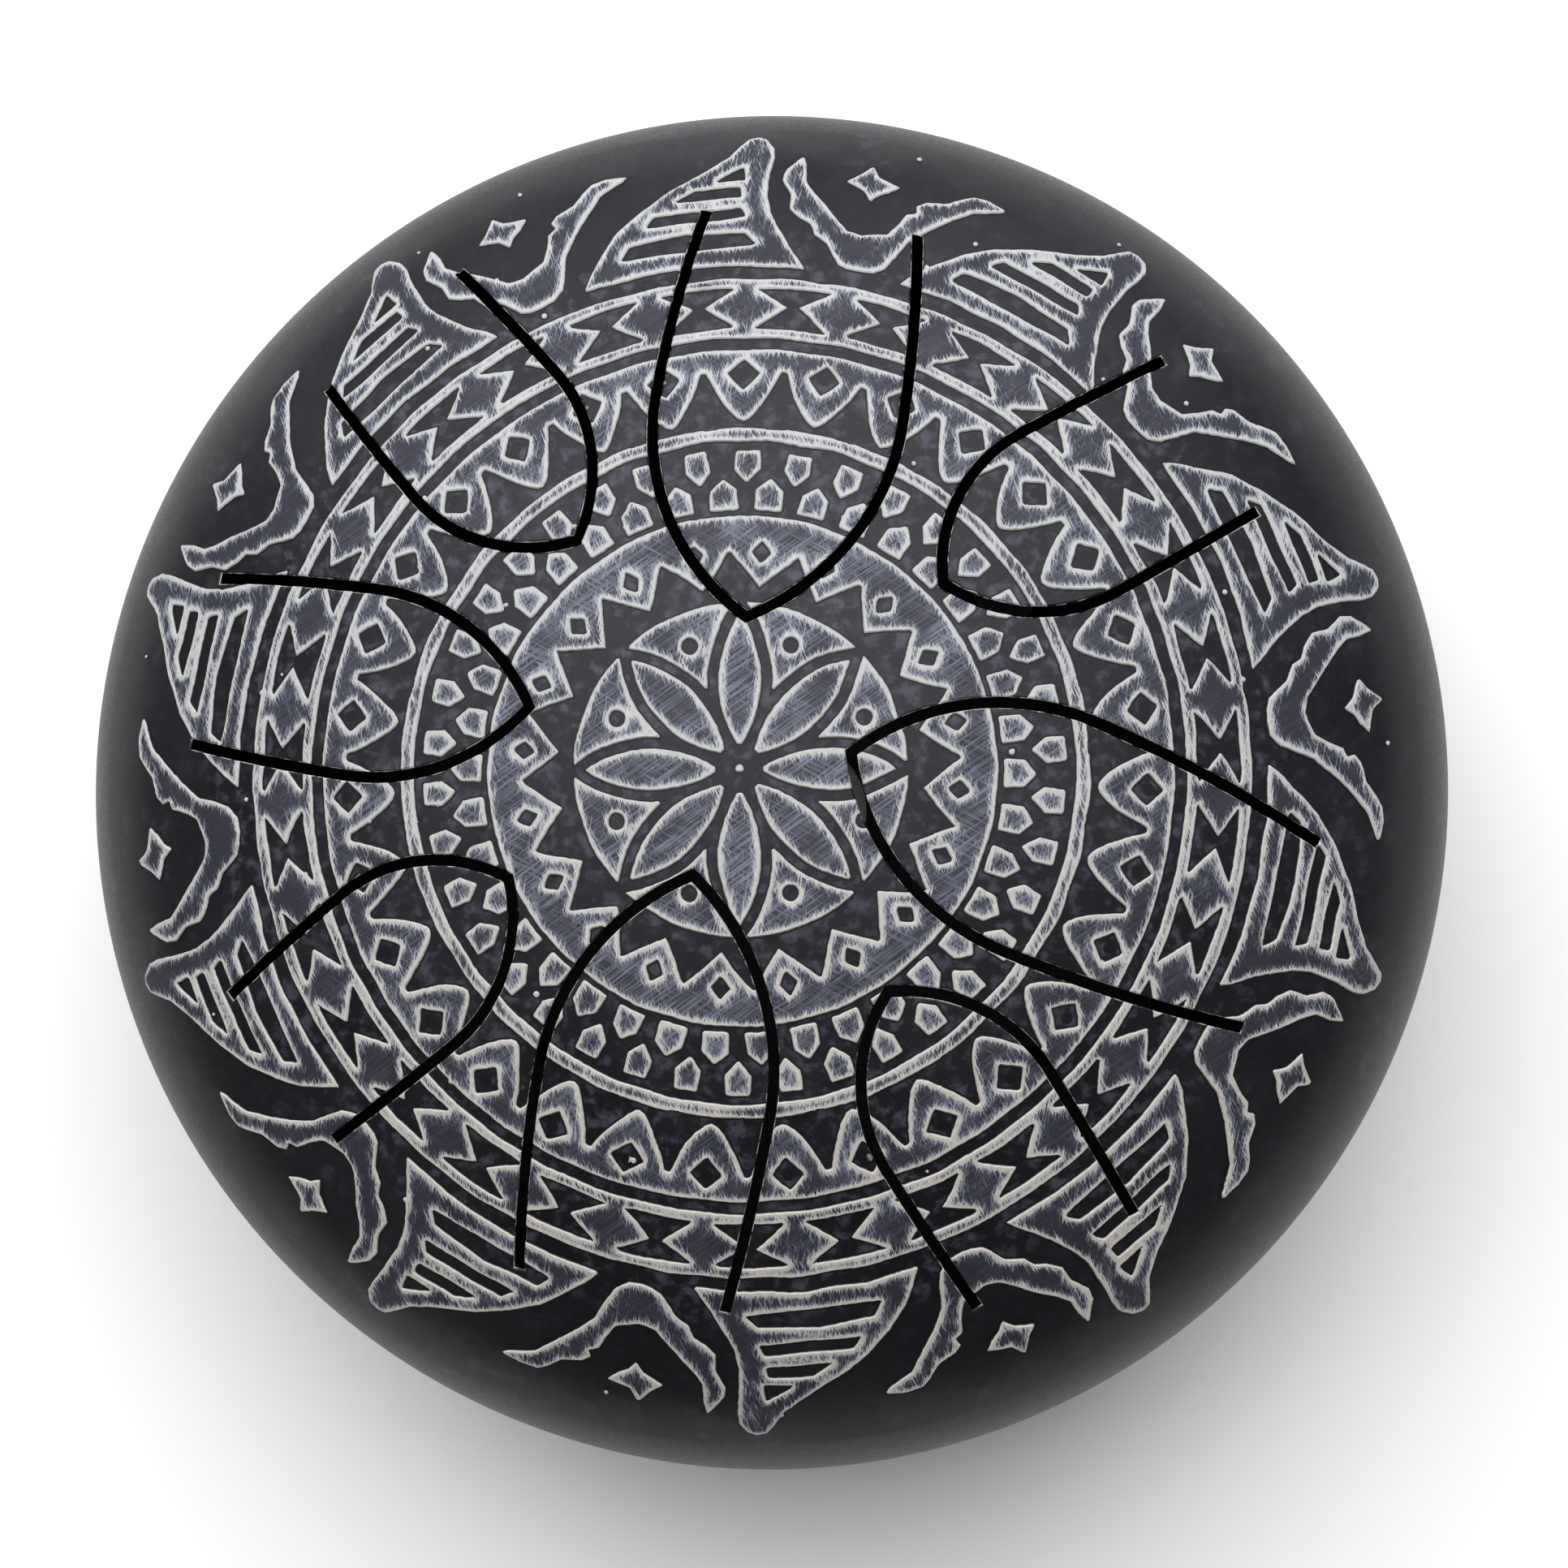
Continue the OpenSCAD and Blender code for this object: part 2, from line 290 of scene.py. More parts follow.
def ornament(u, v):
    """Distance in mm from the nearest motif edge, positive on raised metal, at flattened points u, v."""
    x, y = wander(u, u, v, SEED_X), wander(v, u, v, SEED_Y)
    s, theta = np.hypot(x, y), np.degrees(np.arctan2(y, x))
    out = np.full(s.shape, FAR_FROM_MOTIFS)

    def raise_in(low, high, motif, sunk=()):
        """Raises motif, less the sunk ones, where the arc length is between low and high."""
        zone = (s > low) & (s < high)
        zs, zt = s[zone], theta[zone]
        d = motif(zs, zt)
        for cut in sunk:
            d = np.minimum(d, -cut(zs, zt))
        out[zone] = np.maximum(out[zone], d)

    def motif(corners, first, count, rounding=0.0):
        return lambda zs, zt: polygon_distance(*folded(zs, zt, first, count), corners) + rounding

    raise_in(0, 40, lambda zs, zt: DISC_R - zs, [rose])
    raise_in(36, 58, lambda zs, zt: np.minimum(motif(SUN_TOOTH, SUN_AT, SUN_COUNT)(zs, zt), SUN_OUT - zs),
             [motif(SUN_GEM, SUN_AT + SUN_GEM_LAG, SUN_COUNT)])
    raise_in(53, 65, motif(DOT_IN, DOT_AT, DOT_COUNT, DOT_ROUND))
    raise_in(59, 71, motif(DOT_OUT, DOT_AT + 180.0 / DOT_COUNT, DOT_COUNT, DOT_ROUND))
    for low, high in RINGS:
        raise_in(low - 3, high + 3, lambda zs, zt: band(zs, low, high))
    raise_in(73, 96, lambda zs, zt: np.minimum(
        np.maximum(motif(PETAL, PETAL_AT, PETAL_COUNT)(zs, zt), zs - PETAL_BASE), PETAL_OUT - zs),
        [motif(PETAL_GEM, PETAL_AT, PETAL_COUNT)])
    raise_in(95, 111, motif(DIAMOND, PETAL_AT, PETAL_COUNT))
    raise_in(111, 156, motif(FIN, FIN_AT, FIN_COUNT), [motif(c, FIN_AT, FIN_COUNT) for c in FIN_STRIPES])
    raise_in(111, 150, motif(WAVE, WAVE_AT, FIN_COUNT))
    raise_in(130, 148, motif(STAR, WAVE_AT, FIN_COUNT))
    return out


def with_beads(field, u, v):
    """Adds the low bead in each petal's gem and the stray specks of raised metal."""
    s, theta = np.hypot(u, v), np.degrees(np.arctan2(v, u))
    x, y = folded(s, theta, PETAL_AT, PETAL_COUNT)
    field = np.maximum(field, np.minimum(BEAD_R - np.hypot(x, y - PETAL_BASE), BEAD_TOP))
    rng = np.random.default_rng(SPECK_SEED)
    for _ in range(SPECKS):
        at, turn, size = rng.uniform(*SPECK_RING), rng.uniform(0, 2 * math.pi), rng.uniform(*SPECK_R)
        px, py = at * math.cos(turn), at * math.sin(turn)
        near = (np.abs(u - px) < SPECK_REACH) & (np.abs(v - py) < SPECK_REACH)
        field[near] = np.maximum(field[near], size - np.hypot(u[near] - px, v[near] - py))
    return field


def from_outline(field):
    """The grid field with its raised part measured from the outline of all motifs together, up to REACH."""
    steps = int(REACH / GRID) + 1
    ground = np.pad(np.where(field <= 0, field, 2 * REACH), steps, constant_values=2 * REACH)
    nearest = np.full(field.shape, REACH)
    n, m = field.shape
    for i in range(-steps, steps + 1):
        for j in range(-steps, steps + 1):
            away = math.hypot(i, j) * GRID
            if away < REACH + GRID:
                moved = ground[steps + i:steps + i + n, steps + j:steps + j + m]
                np.minimum(nearest, moved + away, out=nearest)
    return np.where(field > 0, nearest, field)


# ---------------------------------------------------------------- slits and tongues, in plan
def side_arcs(t):
    """Radii of the two arcs of a tongue's side: from its tip to its belly, and on to its root."""
    _, _, _, length, root_half, belly_half, belly_at = t
    narrowing = belly_half - root_half
    to_belly = (belly_at**2 + belly_half**2) / (2 * belly_half)
    to_root = ((length - belly_at) ** 2 + narrowing**2) / (2 * narrowing)
    return to_belly, to_root


def leaf_side(t, grow, end):
    """One side of a tongue's outline, grown by grow, from its tip at 0 along +u to its root at end."""
    belly_half, belly_at = t[5:]
    tip_arc, root_arc = side_arcs(t)
    tip_turn = math.acos((tip_arc - belly_half) / (tip_arc + grow))
    root_turn = math.asin((end - belly_at) / (root_arc + grow))
    line = []
    for arc, turn in (
        (tip_arc, np.linspace(-tip_turn, 0, int((tip_arc * tip_turn) / TIP_STEP))),
        (root_arc, np.linspace(0, root_turn, int((root_arc * root_turn) / FLANK_STEP))[1:]),
    ):
        along = belly_at + (arc + grow) * np.sin(turn)
        across = belly_half - arc + (arc + grow) * np.cos(turn)
        line.append(np.stack([along, across], 1))
    return np.concatenate(line)


def from_leaf(t, p):
    """Plan points from points in a tongue's own frame."""
    c, s = math.cos(math.radians(t[2])), math.sin(math.radians(t[2]))
    return np.stack([t[0] + p[:, 0] * c - p[:, 1] * s, t[1] + p[:, 0] * s + p[:, 1] * c], 1)


def slit_outline(t, margin):
    """Closed plan outline of the U-shaped slit, grown by margin."""
    half, end = SLIT_W / 2 + margin, t[3] + margin
    outer, inner = leaf_side(t, half, end), leaf_side(t, -half, end)
    flip = np.array((1, -1))
    loop = np.concatenate([outer[::-1], (outer * flip)[1:], (inner * flip)[::-1], inner[1:]])
    return from_leaf(t, loop)


def root_line(t, shift=0.0):
    """Plan points across a tongue at its root, or beside it by shift."""
    half = leaf_side(t, -SLIT_W / 2, t[3])[-1][1]
    v = np.linspace(-half, half, ROOT_POINTS)
    if shift:
        v = v * (1 - CHAMFER_W / half)
    return from_leaf(t, np.stack([np.full_like(v, t[3] + shift), v], 1))


def sides(t, plan):
    """How far inside the middle line of a tongue's slit each plan point is, and how far along it."""
    c, s = math.cos(math.radians(t[2])), math.sin(math.radians(t[2]))
    dx, dy = plan[:, 0] - t[0], plan[:, 1] - t[1]
    u, v = dx * c + dy * s, np.abs(dy * c - dx * s)
    belly_half, belly_at = t[5:]
    tip_arc, root_arc = side_arcs(t)
    arc = np.where(u < belly_at, tip_arc, root_arc)
    return arc - np.hypot(u - belly_at, v - belly_half + arc), u


SHELL, VOID = 0, -1


def owner(plan):
    """SHELL, VOID in a slit, or the number of the tongue that each plan point belongs to."""
    who = np.full(len(plan), SHELL)
    for number, t in enumerate(TONGUES, 1):
        inside, along = sides(t, plan)
        before_root = along < t[3]
        who[before_root & (inside > SLIT_W / 2)] = number
        who[before_root & (np.abs(inside) <= SLIT_W / 2)] = VOID
    return who


def slit_distance(plan):
    """Distance in mm from each plan point to the nearest slit, 0 on its edge."""
    nearest = np.full(len(plan), 1e9)
    for t in TONGUES:
        inside, along = sides(t, plan)
        across = np.abs(inside) - SLIT_W / 2
        past = along - t[3]
        d = np.where(past > 0, np.hypot(np.maximum(across, 0), past), across)
        nearest = np.minimum(nearest, d)
    return nearest


# ---------------------------------------------------------------- mesh of the patterned dome
def contour_edges(field, axis):
    """Points and edges of the field's outlines at each level, found cell by cell on the square grid."""
    points, edges, total = [], [], 0
    every, but_last, but_first = slice(None), slice(None, -1), slice(1, None)
    for level in LEVELS:
        a = field - level + LEVEL_NUDGE
        above = a > 0
        ids = {}
        for name, first, second in (("h", (but_last, every), (but_first, every)),
                                    ("v", (every, but_last), (every, but_first))):
            cross = above[first] != above[second]
            i, j = np.nonzero(cross)
            t = a[first][i, j] / (a[first][i, j] - a[second][i, j])
            step = GRID * np.clip(t, CORNER_GAP, 1 - CORNER_GAP)
            step_u, step_v = (step, 0) if name == "h" else (0, step)
            points.append(np.stack([axis[i] + step_u, axis[j] + step_v], 1))
            number = np.full(cross.shape, -1)
            number[i, j] = total + np.arange(len(i))
            total += len(i)
            ids[name] = number
        low, high = ids["h"][:, :-1], ids["h"][:, 1:]
        left, right = ids["v"][:-1, :], ids["v"][1:, :]
        four = np.stack([low, right, high, left], -1)
        hits = (four >= 0).sum(-1)
        two = np.sort(four[hits == 2], 1)[:, 2:]
        saddle = four[hits == 4]
        middle = (a[:-1, :-1] + a[1:, :-1] + a[:-1, 1:] + a[1:, 1:])[hits == 4] > 0
        joined = middle == above[:-1, :-1][hits == 4]
        first = np.where(joined[:, None], saddle[:, [0, 1]], saddle[:, [0, 3]])
        second = np.where(joined[:, None], saddle[:, [2, 3]], saddle[:, [1, 2]])
        edges += [two, first, second]
    return np.concatenate(points), np.concatenate(edges)


def thinned(points, edges):
    """The same closed outlines without the points that lie almost on the line through their neighbours."""
    rank = np.random.default_rng(THIN_SEED).permutation(len(points))
    alive = np.ones(len(points), bool)
    for _ in range(THIN_ROUNDS):
        order = np.argsort(edges.ravel(), kind="stable")
        here = edges.ravel()[order][::2]
        two = edges[:, ::-1].ravel()[order].reshape(-1, 2)
        a, b, p = points[two[:, 0]], points[two[:, 1]], points[here]
        base, side = b - a, p - a
        length = np.maximum(np.hypot(base[:, 0], base[:, 1]), 1e-9)
        off = np.abs(base[:, 0] * side[:, 1] - base[:, 1] * side[:, 0]) / length
        fits = np.zeros(len(points), bool)
        fits[here] = (off < THIN_BY) & (length < LONGEST) & (length > GRID / 2)
        first = fits[here]
        for k in (0, 1):
            first &= ~fits[two[:, k]] | (rank[here] > rank[two[:, k]])
        drop = np.zeros(len(points), bool)
        drop[here[first]] = True
        alive &= ~drop
        edges = np.concatenate([edges[~drop[edges].any(1)], two[first]])
    number = np.cumsum(alive) - 1
    return points[alive], number[edges]


def loop_edges(start, count, closed=True):
    """Edges that join count vertices in turn, from number start on."""
    i = np.arange(count if closed else count - 1)
    return np.stack([start + i, start + (i + 1) % count], 1)


def lattice(radius, step):
    """A triangular lattice of points in a disc."""
    n = int(radius / step) + 2
    i, j = np.meshgrid(np.arange(-n, n + 1), np.arange(-n, n + 1))
    p = np.stack([(i + (j % 2) / 2).ravel() * step, j.ravel() * step * LATTICE_ROW], 1)
    return p[np.hypot(p[:, 0], p[:, 1]) < radius]


def regions(faces, walls):
    """A number for each face that is the same for all faces joined without crossing a wall edge."""
    edges = np.sort(np.concatenate([faces[:, [0, 1]], faces[:, [1, 2]], faces[:, [2, 0]]]), 1)
    size = faces.max() + 1
    key = edges[:, 0] * size + edges[:, 1]
    wall_keys = np.sort(walls, 1) @ np.array((size, 1))
    order = np.argsort(key, kind="stable")
    face = np.tile(np.arange(len(faces)), 3)[order]
    key = key[order]
    joined = (key[1:] == key[:-1]) & ~np.isin(key[1:], wall_keys)
    a, b = face[:-1][joined], face[1:][joined]
    label = np.arange(len(faces))
    while True:
        low = np.minimum(label[a], label[b])
        new = label.copy()
        np.minimum.at(new, label[a], low)
        np.minimum.at(new, label[b], low)
        new = new[new]
        if (new == label).all():
            return label
        label = new


def areas(plan, faces):
    """Twice each face's area, positive where it runs anticlockwise."""
    a, b, c = (plan[faces[:, k]] for k in range(3))
    return (b[:, 0] - a[:, 0]) * (c[:, 1] - a[:, 1]) - (b[:, 1] - a[:, 1]) * (c[:, 0] - a[:, 0])


def owners(plan, faces, walls):
    """The owner of each face, one for each whole region between the walls, asked of its largest face."""
    label = regions(faces, walls)
    order = np.argsort(-areas(plan, faces), kind="stable")
    _, first, inverse = np.unique(label[order], return_index=True, return_inverse=True)
    who = np.empty(len(faces), int)
    who[order] = owner(plan[faces[order[first]]].mean(1))[inverse]
    return who


def triangulate(points, edges, wall_from=0):
    """Delaunay triangles that keep the given edges, all the same way up, where each given point went, and
    the edges that came from the given ones from number wall_from on."""
    co = [Vector(p) for p in points.tolist()]
    out = delaunay_2d_cdt(co, [tuple(e) for e in edges.tolist()], [], 0, 1e-5, True)
    flat, faces = np.array([tuple(p) for p in out[0]]), np.array(out[2])
    went = np.zeros(len(points), int)
    for number, sources in enumerate(out[3]):
        went[sources] = number
    walls = [edge for edge, sources in zip(out[1], out[4]) if any(k >= wall_from for k in sources)]
    up = areas(flat, faces) > 0
    return flat, np.where(up[:, None], faces, faces[:, ::-1]), went, np.array(walls)


def sample(field, axis, p):
    """The field at flattened points, straight along grid lines, so that outlines keep their level."""
    g = (p - axis[0]) / GRID
    i = np.clip(g.astype(int), 0, len(axis) - 2)
    f = g - i
    a, b = field[i[:, 0], i[:, 1]], field[i[:, 0] + 1, i[:, 1]]
    c, d = field[i[:, 0], i[:, 1] + 1], field[i[:, 0] + 1, i[:, 1] + 1]
    return (a * (1 - f[:, 0]) + b * f[:, 0]) * (1 - f[:, 1]) + (c * (1 - f[:, 0]) + d * f[:, 0]) * f[:, 1]


def unit_circle():
    turn = np.linspace(0, 2 * math.pi, RIM_STEPS, endpoint=False)
    return np.stack([np.cos(turn), np.sin(turn)], 1)


def patterned_dome():
    """The flattened dome: points, triangles, each triangle's owner, and each point's edge distance."""
    steps = int(SKIN_S / GRID) + 2
    axis = np.arange(-steps, steps + 1) * GRID
    u, v = np.meshgrid(axis, axis, indexing="ij")
    field = with_beads(from_outline(ornament(u.ravel(), v.ravel()).reshape(u.shape)), u, v)
    points, edges = thinned(*contour_edges(field, axis))
    stacks, lines, total = [points], [edges], len(points)

    def add(line, closed):
        nonlocal total
        stacks.append(line)
        lines.append(loop_edges(total, len(line), closed))
        total += len(line)

    for radius in (SKIN_S, *(sum(ring) / 2 for ring in RINGS)):
        add(unit_circle() * radius, True)
    for t in TONGUES:
        add(to_flat(slit_outline(t, CHAMFER_W)), True)
        for shift in (-CHAMFER_W, CHAMFER_W):
            add(to_flat(root_line(t, shift)), False)
    wall_from = sum(map(len, lines))
    for t in TONGUES:
        add(to_flat(slit_outline(t, 0)), True)
        add(to_flat(root_line(t)), False)
    coarse, fine = lattice(SKIN_S - FILL / 2, FILL), lattice(SKIN_S - FILL / 2, FINE_FILL)
    stacks.append(coarse[sample(field, axis, coarse) < FILL_BELOW])
    stacks.append(fine[sample(field, axis, fine) > FINE_FILL_ABOVE])
    flat, faces, _, walls = triangulate(np.concatenate(stacks), np.concatenate(lines), wall_from)
    return flat, faces, owners(to_plan(flat), faces, walls), sample(field, axis, flat)


# ---------------------------------------------------------------- closed skins
def border(faces):
    """Directed edges that belong to one face only."""
    edges = np.concatenate([faces[:, [0, 1]], faces[:, [1, 2]], faces[:, [2, 0]]])
    low, high = edges.min(1), edges.max(1)
    _, first, count = np.unique(low * (faces.max() + 1) + high, return_index=True, return_counts=True)
    return edges[first[count == 1]]


def compact(faces):
    """The vertices that faces use, and the faces in terms of them."""
    used, inverse = np.unique(faces, return_inverse=True)
    return used, inverse.reshape(faces.shape)


def inner_points(plan):
    """Points of the crown's inner face above the given plan points."""
    return np.column_stack([plan, CROWN_Z + np.sqrt((CROWN_R - WALL) ** 2 - (plan**2).sum(1))])


def mesh_object(name, points, faces, values):
    """An object in metres from points in mm, smooth but for its creases, with point attributes."""
    mesh = bpy.data.meshes.new(name)
    mesh.from_pydata((points * MM).tolist(), [], faces)
    for key, value in values.items():
        mesh.attributes.new(key, "FLOAT", "POINT").data.foreach_set("value", value.astype(np.float32))
    mesh.shade_smooth()
    mesh.set_sharp_from_angle(angle=math.radians(CREASE))
    piece = bpy.data.objects.new(name, mesh)
    bpy.context.collection.objects.link(piece)
    return piece


def underside(rim_plan, rim_edges, ring, fill):
    """Inner cap below a patch: plan points, faces, and the numbers of the rim's and the ring's points."""
    edges = np.concatenate([rim_edges, loop_edges(len(rim_plan), len(ring))])
    plan, faces, went, walls = triangulate(np.concatenate([rim_plan, ring, fill]), edges)
    label = regions(faces, walls)
    patch = np.bincount(label, areas(plan, faces)).argmax()
    used, faces = compact(faces[label == patch])
    number_of = np.full(len(plan), -1)
    number_of[used] = np.arange(len(used))
    went = number_of[went]
    return plan[used], faces, went[:len(rim_plan)], went[len(rim_plan):len(rim_plan) + len(ring)]


def rim_profile():
    """Radius and height down the shell's outside from the pattern's border, and back up its inside."""
    knuckle_end = CROWN_S + KNUCKLE_R * (math.pi / 2 - TURN)
    outer = [dome(np.array(s)) for s in np.linspace(SKIN_S, knuckle_end, OUTER_KNUCKLE_STEPS)[1:]]
    rows = [(float(r), float(z)) for r, z in outer]
    rows += [(DRUM_R, SEAM_Z + RIM_H / 2), (DRUM_R, SEAM_Z + WELD_DEPTH), (DRUM_R - WELD_DEPTH, SEAM_Z),
             (DRUM_R - WALL, SEAM_Z), (DRUM_R - WALL, UPPER_PLANE)]
    inner = KNUCKLE_R - WALL
    for a in np.linspace(math.pi / 2, TURN, INNER_KNUCKLE_STEPS)[1:-1]:
        rows.append((KNUCKLE_C + inner * math.sin(a), UPPER_PLANE + inner * math.cos(a)))
    return rows


def top_surface():
    """The patterned surface without its slits: points, faces, their owners, which points are on the border,
    and each point's distance from the motifs' edges and whether it is on a slit's edge."""
    flat, faces, who, edge = patterned_dome()
    faces, who = faces[who != VOID], who[who != VOID]
    at_border = np.hypot(flat[:, 0], flat[:, 1]) > SKIN_S - AT_BORDER
    cut = np.zeros(len(flat))
    cut[border(faces)] = 1
    cut[at_border] = 0
    lift = RELIEF_H * np.clip(edge / RELIEF_SLOPE_W, 0, 1) - CHAMFER_H * cut
    return dome_points(flat, lift), faces, who, at_border, {"edge": edge, "cut": cut}


def backed(points, patch, wall_edges, ring, fill):
    """A patch closed by an inner cap and walls down from wall_edges: points, faces, the ring's numbers."""
    rim_ids, rim_local = compact(wall_edges)
    cap, cap_faces, below, last = underside(points[rim_ids][:, :2], rim_local, ring, fill)
    base = len(points)
    down = dict(zip(rim_ids.tolist(), (base + below).tolist()))
    solid = patch.tolist() + (base + cap_faces[:, ::-1]).tolist()
    solid += [(b, a, down[a], down[b]) for a, b in wall_edges.tolist()]
    return np.concatenate([points, inner_points(cap)]), solid, base + last


def with_rim(points, solid, border_edges, last):
    """Closes the shell with its rim, from the pattern's border round to last, the inner cap's ring."""
    rows = rim_profile()
    angle = np.arctan2(points[:, 1], points[:, 0]) % (2 * math.pi)
    first = np.unique(border_edges)
    first = first[np.argsort(angle[first])]
    between = len(points) + np.arange(len(rows) * RIM_STEPS).reshape(-1, RIM_STEPS)
    turns = np.concatenate([[first], between, [last]])
    for upper, lower in zip(turns, turns[1:]):
        solid += np.stack([np.roll(upper, -1), upper, lower, np.roll(lower, -1)], 1).tolist()
    rings = [np.column_stack([unit_circle() * r, np.full(RIM_STEPS, z)]) for r, z in rows]
    return np.concatenate([points, *rings]), solid


def build_skins():
    """The patterned shell and the eight tongues as closed solids."""
    top, faces, who, at_border, marks = top_surface()
    crown_edge = (CROWN_R - WALL) * math.sin(TURN)
    grid = lattice(crown_edge - FILL / 2, FILL)
    grid = grid[slit_distance(grid) > FILL_TO_SLIT]
    grid_owner = owner(grid)
    skins = []
    for number in range(len(TONGUES) + 1):
        used, patch = compact(faces[who == number])
        rim = border(patch)
        outside = at_border[used][rim[:, 0]]
        ring = unit_circle() * crown_edge if number == SHELL else np.empty((0, 2))
        points, solid, last = backed(top[used], patch, rim[~outside], ring, grid[grid_owner == number])
        if number == SHELL:
            points, solid = with_rim(points, solid, rim[outside], last)
        values = {"edge": np.full(len(points), -REACH), "cut": np.zeros(len(points))}
        for key, value in marks.items():
            values[key][:len(used)] = value[used]
        name = "shell_skin" if number == SHELL else f"tongue_skin_{number}"
        skins.append(mesh_object(name, points, solid, values))
    return skins


def ride_skins(shell, *tongues):
    """The shell's skin rides on the drum in place of the hidden top shell, and each tongue's skin takes the
    place of its hidden CAD tongue.
    """
    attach(shell, "drum")
    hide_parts("top_shell")
    for number, (t, skin) in enumerate(zip(TONGUES, tongues), 1):
        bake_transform(skin)
        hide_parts(f"tongue_{number}")


# ---------------------------------------------------------------- materials
def node(tree, kind, inputs=(), **settings):
    """Adds a shader node; an input is a value or another node's output."""
    made = tree.nodes.new("ShaderNode" + kind)
    for key, value in settings.items():
        setattr(made, key, value)
    for key, value in dict(inputs).items():
        if isinstance(value, bpy.types.NodeSocket):
            tree.links.new(value, made.inputs[key])
        else:
            made.inputs[key].default_value = value
    return made


def blank(name):
    """A new material: its tree, its Principled shader and the object's own coordinates in metres."""
    material = bpy.data.materials.new(name)
    material.use_nodes = True
    tree = material.node_tree
    place = node(tree, "TexCoord").outputs["Object"]
    return material, tree, tree.nodes["Principled BSDF"], place


def noise(tree, place, scale, detail=3.0, roughness=0.55):
    return node(tree, "TexNoise", {"Vector": place, "Scale": scale, "Detail": detail,
                                   "Roughness": roughness}).outputs["Fac"]


def fade(tree, value, low, high, to_low=0.0, to_high=1.0):
    """to_low where value is at low, to_high where it is at high, and a smooth step between."""
    return node(tree, "MapRange", {"Value": value, "From Min": low, "From Max": high, "To Min": to_low,
                                   "To Max": to_high}, interpolation_type="SMOOTHSTEP").outputs["Result"]


def rough(tree, shader, value, smooth, coarse):
    """Roughness from smooth to coarse as value goes through the middle of a noise's range."""
    tree.links.new(fade(tree, value, *MIDDLE, smooth, coarse), shader.inputs["Roughness"])


def calc(tree, operation, a, b):
    return node(tree, "Math", {0: a, 1: b}, operation=operation).outputs[0]


def times(tree, a, b):
    return calc(tree, "MULTIPLY", a, b)


def mix(tree, factor, a, b):
    """Mixes two colours, each a colour or a socket."""
    a, b = ((*c, 1.0) if isinstance(c, tuple) else c for c in (a, b))
    return node(tree, "Mix", {0: factor, 6: a, 7: b}, data_type="RGBA").outputs[2]


def bump(tree, shader, height, strength, distance):
    made = node(tree, "Bump", {"Height": height, "Strength": strength, "Distance": distance})
    tree.links.new(made.outputs[0], shader.inputs["Normal"])


def brushed(tree, place, degrees, shift, length, width, detail=3.0):
    """Noise drawn out into strokes of the given length and width, in metres, all running one way."""
    turn = (0, 0, math.radians(degrees))
    lie = node(tree, "Mapping", {"Vector": place, "Location": (shift, 0, 0), "Rotation": turn,
                                 "Scale": (length, width, length)}, vector_type="TEXTURE").outputs[0]
    return noise(tree, lie, 1.0, detail, 0.6)


# where a noise changes most, so that a fade over it uses all of its range
MIDDLE = (0.3, 0.7)
PAINT_GLOSS = 0.25
SHEEN = (0.90, 0.885, 1.0, 1.0)
BLACK = (0.0034, 0.0032, 0.0046)
BLACK_WARM = (0.0080, 0.0072, 0.0092)
FOOT_SHADE = (0.0030, 0.0027, 0.0030)
CREAM = (0.46, 0.435, 0.39)
SILVER = (0.395, 0.40, 0.385)
HALO = (0.215, 0.230, 0.280)
RUBBED_STEEL = (0.135, 0.142, 0.178)
DEEP_BLUE = (0.017, 0.017, 0.025)
SMUDGE = (0.050, 0.050, 0.060)
DUST = (0.080, 0.086, 0.115)
RUBBER, RUBBER_DUST = (0.012, 0.012, 0.013), (0.035, 0.034, 0.032)
ZINC, ZINC_PALE = (0.50, 0.52, 0.55), (0.68, 0.69, 0.70)
FLOOR, FLOOR_PALE = (0.86, 0.86, 0.86), (0.88, 0.88, 0.88)
# angle and shift of the two brush directions, and the strokes' length and width in metres
STROKES = ((80, 0.0), (-66, 0.3))
STROKE = (0.0040, 0.00028)
# the long streaks near the pole: angle, shift, length, width and detail
STREAK, CROSS_STREAK = (35, 1.3, 0.012, 0.00045, 5.0), (-28, 2.1, 0.009, 0.00040, 5.0)
# bands of wear along the motifs' edges, in mm: the width everywhere, more in strokes and more in patches,
# and the distances over which the band fades in
BARE, BARE_FADE = (0.56, 0.85, 0.45), (-0.40, 0.40)
FRINGE, FRINGE_FADE = (0.35, 1.9, 0.9), (-0.50, 0.95)


def black_paint(tree, place):
    """Colour of sound satin black paint: slow cloudy change and faint pale smudges."""
    clouds = fade(tree, noise(tree, place, 22.0, 4.0), 0.35, 0.7)
    base = mix(tree, clouds, BLACK, BLACK_WARM)
    smudge = fade(tree, noise(tree, place, 190.0, 5.0), 0.50, 0.74, 0.0, 0.45)
    where = fade(tree, noise(tree, place, 45.0, 2.0), 0.46, 0.66)
    return mix(tree, times(tree, smudge, where), base, SMUDGE)


def sunk_paint(tree, place, edge, radius):
    """Colour between the motifs: black paint, dusty inside the fins' ring, and painted shade darkest along
    the motifs' feet.
    """
    hollow = times(tree, fade(tree, edge, -0.20, -0.36), fade(tree, radius, 0.112, 0.120, 1.0, 0.1))
    dusty = fade(tree, noise(tree, place, 300.0, 6.0), 0.47, 0.70, 0.0, 0.42)
    dusty_paint = mix(tree, times(tree, hollow, dusty), black_paint(tree, place), DUST)
    # painted shade: the ground darkens towards the foot of each raised motif
    foot = fade(tree, edge, -0.35, 0.0, 0.0, 0.8)
    return mix(tree, foot, dusty_paint, FOOT_SHADE)


